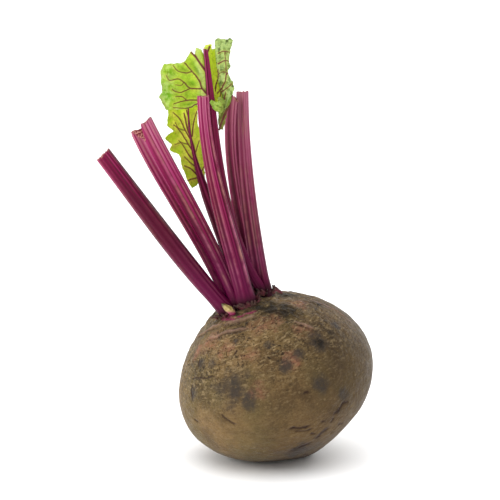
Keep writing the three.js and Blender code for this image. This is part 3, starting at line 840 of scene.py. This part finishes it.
LOWER_LEAF = dict(
    rib="petiole_lower_leaf",
    midrib=[(14.8, 3), (11.6, 18), (9.5, 29), (7.6, 35.9)],
    left=dict(
        edge=[(11, -0.3), (8.5, 4.7), (6, 10.7), (5.5, 14.2), (1.5, 16.7), (2, 19.2), (-1, 22), (2.5, 24.8),
              (0, 27.7), (0.5, 33.7), (0, 36.5)],
        bottom=[(14.8, 3), (13, 1.2), (11, -0.3)],
        top=[(7.6, 35.9), (4, 36.3), (0, 36.5)]),
    right=dict(
        edge=[(17, 1), (16.4, 9.5), (15.4, 18.5), (13.4, 29.5), (13.8, 35.9)],
        bottom=[(14.8, 3), (16, 1.9), (17, 1)],
        top=[(7.6, 35.9), (11, 36.3), (13.8, 35.9)]),
    lift=dict(left=lambda u: 2 * u - 4 * u * u, right=lambda u: 1.5 * u),
    fold=2, warm=0.95, bright=0,
    veins=[
        ([(14, 6.5), (11, 20), (9, 25.5), (7.5, 32.5)], 0.7, 0.5),
        ([(11, 20), (8, 25), (5.5, 30), (2.5, 33)], 0.5, 0.3),
        ([(11, 22.5), (11.5, 28), (13, 33.5)], 0.45, 0.3),
        ([(12, 15), (9.5, 18.5), (6.5, 23.5), (4, 26.5), (2.5, 27.5)], 0.5, 0.3),
        ([(12.5, 11.5), (10, 13.5), (6.5, 19), (5, 20.5)], 0.5, 0.3),
        ([(13, 5.5), (10.5, 8), (7.5, 9.5)], 0.5, 0.35),
        ([(13, 4), (10.5, 3.5), (8.5, 3)], 0.45, 0.35),
        ([(15, 6.5), (16.5, 9.5)], 0.4, 0.3),
        ([(12.5, 15.5), (14, 20.5)], 0.4, 0.25),
        ([(10.2, 24.4), (9.6, 29.5), (8.4, 34)], 0.4, 0.3),
        ([(9.3, 18.8), (6.2, 19.6), (3.2, 19)], 0.3, 0.2),
        ([(8, 25), (5, 26), (3.4, 28.6)], 0.3, 0.2),
        ([(12.8, 9), (10.4, 10.6), (7.5, 13.6)], 0.35, 0.25),
    ])
LEAVES = {"leaf_blade_upper": UPPER_LEAF, "leaf_blade_lower": LOWER_LEAF}
LEAF_ACROSS = 84        # columns from the midrib to either edge
LEAF_UP = 150
LEAF_THICKNESS = 0.4
LEAF_RIM = 0.16
RIB_CLEARANCE = 0.15
VEIN_WIDTH = 1.5       # of the widths above, for the coloured line along a vein
VEIN_HEIGHT = 0.28


def along(points, t):
    """Points of a smooth curve through `points`, evenly spread over its length, at `t` from 0 to 1."""
    fine = spline(points, np.linspace(0, 1, 400))
    length = np.concatenate([[0], np.cumsum(np.linalg.norm(np.diff(fine, axis=0), axis=1))])
    return np.stack([np.interp(t * length[-1], length, column) for column in fine.T], -1)


def half_blade(midrib, half, u, v):
    """Points between the four outlines, `u` out from the midrib and `v` up it."""
    inner, edge = along(midrib, v), along(half["edge"], v)
    low, high = along(half["bottom"], u), along(half["top"], u)
    u, v = u[None, :, None], v[:, None, None]
    sides = (1 - u) * inner[:, None] + u * edge[:, None] + (1 - v) * low[None] + v * high[None]
    base = (1 - u) * inner[0] + u * edge[0]
    crest = (1 - u) * inner[-1] + u * edge[-1]
    return sides - (1 - v) * base - v * crest


def vein_field(flat, veins):
    """How strongly each point lies on a vein and beside one, and how far it is from any, in mm."""
    vein = np.zeros(flat.shape[:-1])
    halo = np.zeros(flat.shape[:-1])
    clear = np.full(flat.shape[:-1], 9.0)
    for points, start, end in veins:
        path = along(points, np.linspace(0, 1, 60))
        for k, place in enumerate(path):
            width = VEIN_WIDTH * 0.5 * (start + (end - start) * k / len(path))
            away = np.hypot(flat[..., 0] - place[0], flat[..., 1] - place[1])
            vein = np.maximum(vein, np.exp(-(away / width) ** 4))
            halo = np.maximum(halo, bell(away, 2.6 * width))
            clear = np.minimum(clear, away - width)
    return vein, halo, np.maximum(clear, 0)


def add_leaf(seed, name, leaf, rib, material):
    """A torn blade: puckered between raised veins, curled at its rim and thin at the edge."""
    u = np.linspace(0, 1, LEAF_ACROSS)
    v = np.linspace(0, 1, LEAF_UP)
    left = half_blade(leaf["midrib"], leaf["left"], u, v)[:, ::-1]
    right = half_blade(leaf["midrib"], leaf["right"], u, v)
    flat = np.concatenate([left[:, :-1], right], axis=1)
    out = np.concatenate([-u[::-1][:-1], u])[None, :] + 0 * v[:, None]
    reach = np.abs(out)
    lift = np.where(out < 0, leaf["lift"]["left"](reach), leaf["lift"]["right"](reach))
    place = np.concatenate([flat, 0 * flat[..., :1]], -1)
    rim = np.maximum(reach, np.abs(2 * v[:, None] - 1) ** 3)
    ragged = [0.5 * layered_noise(place, 1.6, seed + step, 3) for step in (0, 9)]
    flat = flat + smooth(0.9, 1, rim)[..., None] * np.stack(ragged, -1)
    vein, halo, clear = vein_field(flat, leaf["veins"])
    beside = np.minimum(1, 4 * reach)          # 0 at the midrib
    lift = lift + 0.7 * (1 - bell(clear, 1.6)) * np.minimum(1, 5 * reach)
    lift = lift + (0.5 + 1.1 * rim ** 4) * layered_noise(place, 6, seed + 1, 2) * beside
    fold = smooth(leaf["fold"], leaf["fold"] + 0.06, out)
    lift = lift + fold * 0.55 * noise(place * [0.7, 1.6, 1], 1.6, seed + 4)
    lift = lift + 0.12 * noise(place, 1.1, seed + 2) * beside

    low = np.array(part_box(name)[0])
    middle, _, depth = rib.at(np.linspace(0, rib.length, 120))
    rear = middle - depth[:, None] * rib.outer
    z = low[2] + flat[..., 1] * MM
    y = np.interp(z, rear[:, 2], rear[:, 1]) + (lift + RIB_CLEARANCE) * MM
    sheet = np.stack([low[0] + flat[..., 0] * MM, y, z], -1)
    normal = unit(np.cross(np.gradient(sheet, axis=0), np.gradient(sheet, axis=1)))
    normal *= np.sign(normal[..., 1:2] + 1e-9)
    thick = (LEAF_RIM + (LEAF_THICKNESS - LEAF_RIM) * (1 - rim ** 6))[..., None] * MM
    front = sheet - normal * (0.5 * thick + VEIN_HEIGHT * MM * vein[..., None])
    points, faces = shell(front, sheet + normal * 0.5 * thick)
    bright = leaf["bright"]
    masks = dict(
        vein=vein, halo=halo * (1 - vein), old=fold, rim=smooth(0.93, 1, rim),
        # outer: painted highlight, a pale sheen near the outline.
        outer=bright * smooth(0.6, 0.95, rim) * (1 - fold), warm=leaf["warm"] * bell(clear, 1.5),
        # bright: painted highlight in a band beside the midrib.
        bright=bright * bell(out + 0.14, 0.1),
        fresh=bright * smooth(0, 0.1, out) * (1 - fold) + 0.62 * (1 - bright))
    masks = {key: np.hstack([value, value[:, ::-1]]).reshape(-1) for key, value in masks.items()}
    add_piece(name + "_look", points, faces, material, name, masks)


# Strips of torn blade that stay on a leaf's rib below and in front of it: points in mm from the low
# corner of the blade's box (right, forward, up), the strip's width in mm at either end and its redness.
STRIPS = [
    ([(31.8, 1, 9), (31, 2.5, 5), (29.2, 4.2, 0.5), (27.4, 4.6, -4), (26.2, 4.4, -8.6)], 2.2, 1.3, 0.9),
    ([(30, 2, 7), (28.6, 4, 2.5), (27.2, 4.8, -1.5), (26.2, 4.8, -6)], 2.8, 1.4, 0.5),
    ([(28.2, 2.6, 7), (27.2, 4.8, 2.5), (26.4, 5.2, -2)], 3.4, 1.8, 0.2),
    ([(22.6, 8.4, 4.6), (24.6, 9.4, 3.2), (26.8, 8.8, 3.6), (28.4, 6.6, 5.2)], 2.8, 2.2, 0.05),
    ([(23.4, 8.6, 2.4), (25.4, 9.6, 1.4), (27.6, 8.2, 0)], 2.4, 2, 0.1),
    ([(26.4, 8.2, 6.5), (27.2, 8.6, 2.5), (26.4, 8.4, -1.4)], 2.6, 1.4, 0.3),
    ([(30.4, 2.4, 9.5), (30.6, 3.6, 5.4), (29.2, 4, 1)], 2.6, 1.4, 0.2),
    ([(28.6, 1.6, 4), (27.6, 2, -2), (27, 2.2, -8.4)], 4.4, 3, 0.5),
]


def add_strips(material):
    """Crumpled shreds of the upper blade around the top of its stalk."""
    low, high = (np.array(corner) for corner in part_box("leaf_blade_upper"))
    corner = np.array([low[0], high[1], low[2]])
    t = np.linspace(0, 1, 46)
    across = np.linspace(-1, 1, 13)
    sheets = []
    for number, (path, start, end, _) in enumerate(STRIPS):
        line = spline(path, t) * [1, -1, 1]
        way = unit(np.gradient(line, axis=0))
        aside = unit(np.cross(way, [0, -1, 0]))
        front = np.cross(aside, way)
        place = line[:, None] + 0 * across[None, :, None]
        half = (start + (end - start) * t) / 2 * np.sin(math.pi * np.clip(t, 0.06, 0.94)) ** 0.4
        shift = across[None, :, None]
        half = half[:, None] * (1 + 0.3 * layered_noise(place + shift, 1.6, 700 + number, 2))
        fold = layered_noise(place * [1, 1, 1.6] + 0.8 * shift, 2.2, 720 + number, 3)
        points = place + (half * across)[..., None] * aside[:, None]
        sheets.append(corner + (points + (0.7 * fold * half)[..., None] * front[:, None]) * MM)
    red = np.repeat([redness for *_, redness in STRIPS], 2 * len(t) * len(across))
    add_sheets("leaf_shreds", sheets, 0.3, material, None, dict(vein=red, old=0.5 + 0 * red))


# ---------- crown ----------

BUD_ROWS = 60
BUD_COLUMNS = 48
BUD_LENGTH = 7.8
BUD_RADIUS = 1.8
FRINGE_PER_STALK = 18
FRINGE_SPREAD = 1.12       # of the stalk's own half sizes


def add_bud(root, material):
    """A pale bud lying against the crown, its long way down to the right."""
    low, high = (np.array(corner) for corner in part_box("bud_stub"))
    middle = (low + high) / 2
    long_way = unit(np.array([0.78, -0.2, -0.6]))
    side = unit(np.cross(long_way, root.axis))
    up = np.cross(side, long_way)
    t = np.linspace(0, 1, BUD_ROWS)[:, None]
    angle = np.linspace(0, 2 * math.pi, BUD_COLUMNS, endpoint=False)[None, :]
    radius = BUD_RADIUS * np.sin(math.pi * t) ** 0.55 * (0.7 + 0.5 * t)
    circle = np.cos(angle)[..., None] * side + 0.8 * np.sin(angle)[..., None] * up
    points = middle / MM + ((t - 0.5) * BUD_LENGTH)[..., None] * long_way + radius[..., None] * circle
    ripple = 0.12 * np.cos(5 * angle + 2 * t) + 0.25 * layered_noise(points, 1.6, 71, 3)
    points = ((points + (ripple * np.minimum(1, radius))[..., None] * circle) * MM).reshape(-1, 3)
    foot = smooth(-0.1, 1.1, (middle[2] - points[:, 2]) / (1.6 * MM))
    tip = np.repeat(1 - smooth(0.05, 0.4, t[:, 0]), BUD_COLUMNS)
    faces = grid_faces(BUD_ROWS, BUD_COLUMNS)[:, ::-1].tolist()
    add_piece("bud_stub_look", points, faces, material, "bud_stub", dict(foot=foot, tip=tip))


def flake(base, out, up, width, height, curl, seed):
    """Points of a ragged pointed flake: rows from its foot to its tip, columns across it."""
    side = np.cross(out, up)
    t, across = np.meshgrid(np.linspace(0, 1, 9), np.linspace(-1, 1, 7), indexing="ij")
    rough = 0.18 * width * layered_noise(np.stack([3 * t, 2 * across, 0 * t], -1), 1, seed, 2)
    x = across * (width / 2 * (1 - t ** 1.6) + 0.08) + rough * t
    rise = t * height + rough - 0.6
    bend = curl * t ** 2 * height - 0.25 * width * across ** 2
    return base + (x[..., None] * side + rise[..., None] * up + bend[..., None] * out) * MM


def add_sheets(name, sheets, thickness, material, node, masks=None):
    """Several thin sheets as one piece, `dark` from their feet to their tips unless masks are given."""
    points, faces, dark, start = [], [], [], 0
    for sheet in sheets:
        normal = unit(np.cross(np.gradient(sheet, axis=0), np.gradient(sheet, axis=1)))
        half = normal * thickness / 2 * MM
        more_points, more_faces = shell(sheet - half, sheet + half, start)
        points.append(more_points)
        faces += more_faces
        dark.append(np.repeat(np.linspace(0, 1, len(sheet)), 2 * sheet.shape[1]))
        start += len(more_points)
    masks = masks or dict(dark=np.concatenate(dark))
    add_piece(name, np.concatenate(points), faces, material, node, masks)


def add_fringe(root, lines, material):
    """Ragged remains of old leaf bases in the gaps around the stalks."""
    random = np.random.default_rng(5)
    plan = np.stack([root.right, root.back])
    feet = []
    for line in lines.values():
        middle, width, depth = (value[0] for value in line.at(np.array([2 * MM])))
        side = plan @ line.side * width * FRINGE_SPREAD
        outer = plan @ line.outer * depth * FRINGE_SPREAD
        feet.append((plan @ (middle - root.centre), side, outer))
    sheets = []
    for number, (place, side, outer) in enumerate(feet):
        for k in range(FRINGE_PER_STALK):
            angle = 2 * math.pi * (k + random.uniform(-0.4, 0.4)) / FRINGE_PER_STALK
            arm = math.cos(angle) * side + math.sin(angle) * outer
            arm += unit(arm) * random.uniform(-0.1, 1.4) * MM
            spot = place + arm
            covered = any(np.linalg.norm(spot - other) < 0.8 * np.linalg.norm(other_side)
                          for other, other_side, _ in feet if other is not place)
            width, height = random.uniform(1.4, 3.8), random.uniform(1.2, 3.4)
            lean = math.radians(random.uniform(0, 48))
            curl = random.uniform(0.1, 0.7)
            if covered:
                continue
            flat = unit(arm) @ plan
            up = math.cos(lean) * root.axis + math.sin(lean) * flat
            out = math.cos(lean) * flat - math.sin(lean) * root.axis
            sheets.append(flake(root.on_crown(*spot), out, up, width, height, curl, 600 + 20 * number + k))
    add_sheets("crown_fringe", sheets, 0.3, material, None)


def add_scale(material):
    """A dry flake of an old leaf base that slopes down from the stalks to the right."""
    low, high = (np.array(corner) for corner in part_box("dry_scale"))
    foot = np.array([low[0] + 0.3 * MM, (low[1] + high[1]) / 2, high[2] - 2.6 * MM])
    t, across = np.meshgrid(np.linspace(0, 1, 26), np.linspace(-1, 1, 22), indexing="ij")
    rightward = (across + 1) / 2
    x = 4.6 * rightward
    y = 0.9 * t ** 2 - 0.5 * across ** 2 * t
    z = t * 1.4 * (1 - rightward ** 1.25) + 0.8 * (t - 1) - 0.42 * x
    grid = np.stack([x, y, z], -1)
    grid[..., 2] += 0.35 * layered_noise(grid, 1.4, 81, 3) * t
    grid[..., 1] += 0.3 * layered_noise(grid, 1.8, 82, 2)
    add_sheets("dry_scale_look", [foot + grid * MM], 0.35, material, "dry_scale")


add_camera()
add_world()
add_softbox("softbox_left", (-0.7, -0.25, 0.3), 2.2)
add_softbox("softbox_back", (0.5, 0.6, 0.35), 1.6)
add_floor_light(add_floor())
stalk_skin = stalk_material()
lines = {name: StalkLine(name, look["facing"]) for name, look in STALKS.items()}
root = Root(np.mean([line.low for line in lines.values()], axis=0))
add_root(root, skin_material())
for index, (name, look) in enumerate(STALKS.items()):
    add_stalk(index, name, lines[name], look, stalk_skin)
leaf_skin = leaf_material()
for seed, (name, leaf) in zip((400, 500), LEAVES.items()):
    add_leaf(seed, name, leaf, lines[leaf["rib"]], leaf_skin)
add_strips(leaf_skin)
withered_skin = withered_material()
add_bud(root, bud_material())
add_scale(withered_skin)
add_fringe(root, lines, withered_skin)
